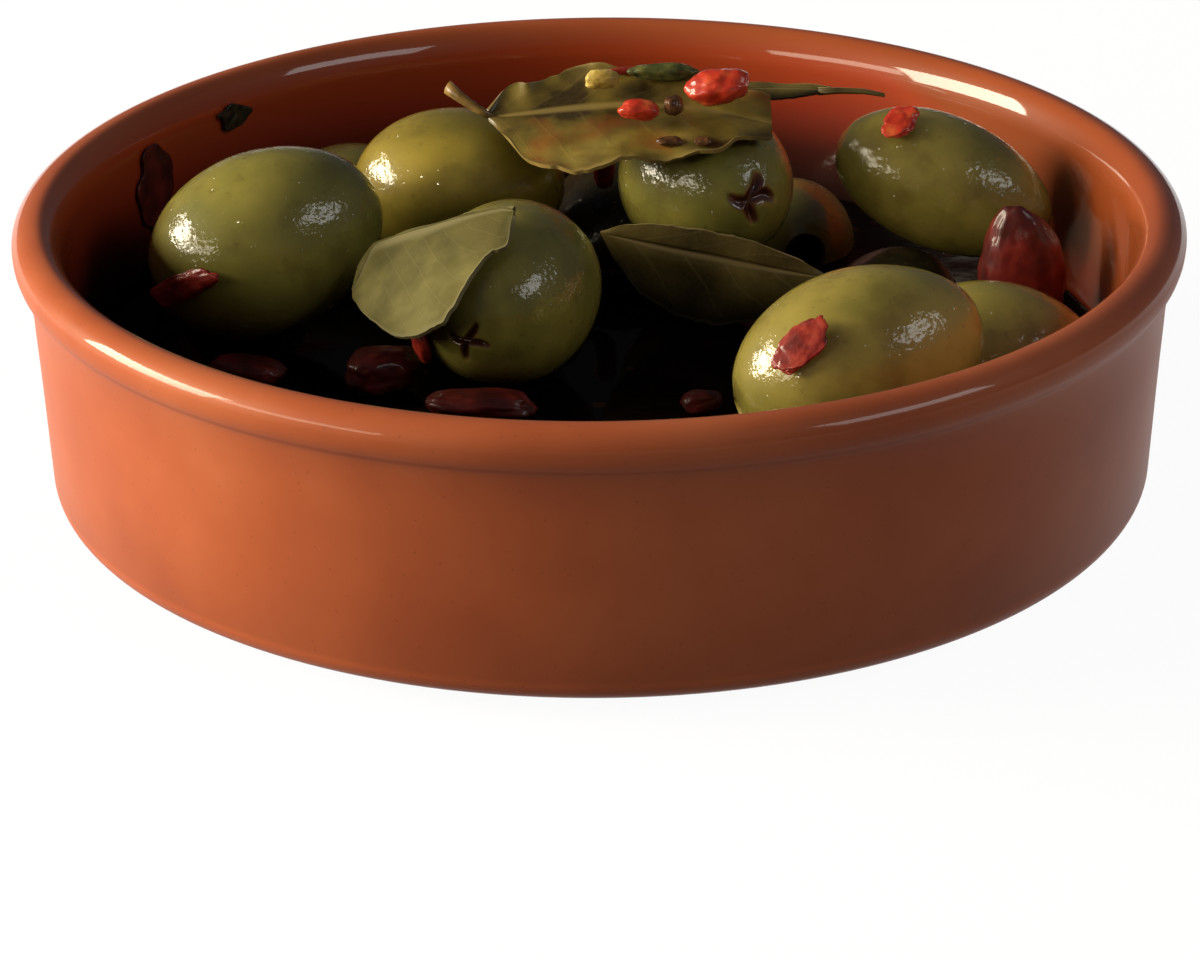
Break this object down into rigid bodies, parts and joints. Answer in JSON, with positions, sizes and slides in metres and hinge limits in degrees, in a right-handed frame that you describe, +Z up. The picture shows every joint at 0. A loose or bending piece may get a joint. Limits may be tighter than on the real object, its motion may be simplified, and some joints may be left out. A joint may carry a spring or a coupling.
{
  "type": "olive dish",
  "caption": "Round glazed terracotta olive dish with a rolled rim, filled with pitted olives, bay leaves and red pepper in dark marinade; top pieces lift out.",
  "frame": {"origin": "centre of the foot ring, on the table", "axes": "+Z up along the dish's axis, -Y towards the viewer of the picture, +X to the viewer's right"},
  "size_m": [0.1344, 0.1344, 0.0439],
  "materials": {
    "glazed_terracotta": "clear gloss glaze over red-brown terracotta, bare clay foot ring",
    "dark_marinade": "wet, near-black oil and vinegar",
    "yellow_olive_skin": "wet, glossy, yellow-green",
    "green_olive_skin": "wet, glossy, olive green with brown freckles",
    "olive_brown_bay_leaf": "soaked leaf, satin, pale midrib",
    "grey_green_bay_leaf": "dry back of a leaf, matt, fine veins",
    "dark_bay_leaf": "soaked leaf, satin, pale midrib",
    "red_pepper": "wet pickled pepper",
    "dark_red_pepper": "wet pickled pepper in shade",
    "garlic": "oiled, straw yellow",
    "brown_spice": "oiled, brown",
    "green_herb": "oiled, grey-green"
  },
  "bodies": {
    "dish": {"dish": "glazed_terracotta", "marinade": "dark_marinade", "leaf_middle": "dark_bay_leaf", "pepper_upright": "dark_red_pepper", "pepper_wall_skin": "dark_red_pepper", "herb_wall_fleck": "green_herb", "pepper_dice_front_left": "dark_red_pepper", "pepper_dice_front": "dark_red_pepper", "pepper_dice_left": "dark_red_pepper", "pepper_dice_right": "dark_red_pepper", "olive_back_left": "yellow_olive_skin", "olive_far_left": "green_olive_skin", "olive_right_low": "green_olive_skin", "olive_middle_low": "green_olive_skin", "olive_under_left": "green_olive_skin", "olive_under_back": "green_olive_skin", "olive_under_right": "green_olive_skin", "olive_under_front": "green_olive_skin", "olive_under_middle": "green_olive_skin"},
    "olive_left": {"olive_left": "green_olive_skin", "pepper_strip_left": "red_pepper"},
    "olive_front": {"olive_front": "green_olive_skin", "pepper_bit_front": "red_pepper"},
    "leaf_torn": {"leaf_torn": "grey_green_bay_leaf"},
    "olive_back": {"olive_back": "green_olive_skin", "leaf_sliver": "dark_bay_leaf"},
    "leaf_top": {"leaf_top": "olive_brown_bay_leaf", "topping_red": "red_pepper", "topping_small_red": "red_pepper", "topping_caper": "brown_spice", "topping_garlic": "garlic", "topping_green": "green_herb"},
    "olive_right_back": {"olive_right_back": "green_olive_skin", "pepper_bit_right": "dark_red_pepper"},
    "olive_right_front": {"olive_right_front": "green_olive_skin", "pepper_flake_right": "red_pepper"},
    "pepper_lobe": {"pepper_lobe": "dark_red_pepper"}
  },
  "joints": [
    {"name": "lift_olive_left", "type": "slide", "parent": "dish", "child": "olive_left", "axis": [0, 0, 1], "range_m": [0, 0.06]},
    {"name": "lift_olive_front", "type": "slide", "parent": "dish", "child": "olive_front", "axis": [0, 0, 1], "range_m": [0, 0.06]},
    {"name": "lift_leaf_torn", "type": "slide", "parent": "olive_front", "child": "leaf_torn", "axis": [0, 0, 1], "range_m": [0, 0.06]},
    {"name": "lift_olive_back", "type": "slide", "parent": "dish", "child": "olive_back", "axis": [0, 0, 1], "range_m": [0, 0.06]},
    {"name": "lift_leaf_top", "type": "slide", "parent": "olive_back", "child": "leaf_top", "axis": [0, 0, 1], "range_m": [0, 0.06]},
    {"name": "lift_olive_right_back", "type": "slide", "parent": "dish", "child": "olive_right_back", "axis": [0, 0, 1], "range_m": [0, 0.06]},
    {"name": "lift_olive_right_front", "type": "slide", "parent": "dish", "child": "olive_right_front", "axis": [0, 0, 1], "range_m": [0, 0.06]},
    {"name": "lift_pepper_lobe", "type": "slide", "parent": "dish", "child": "pepper_lobe", "axis": [0, 0, 1], "range_m": [0, 0.06]}
  ]
}
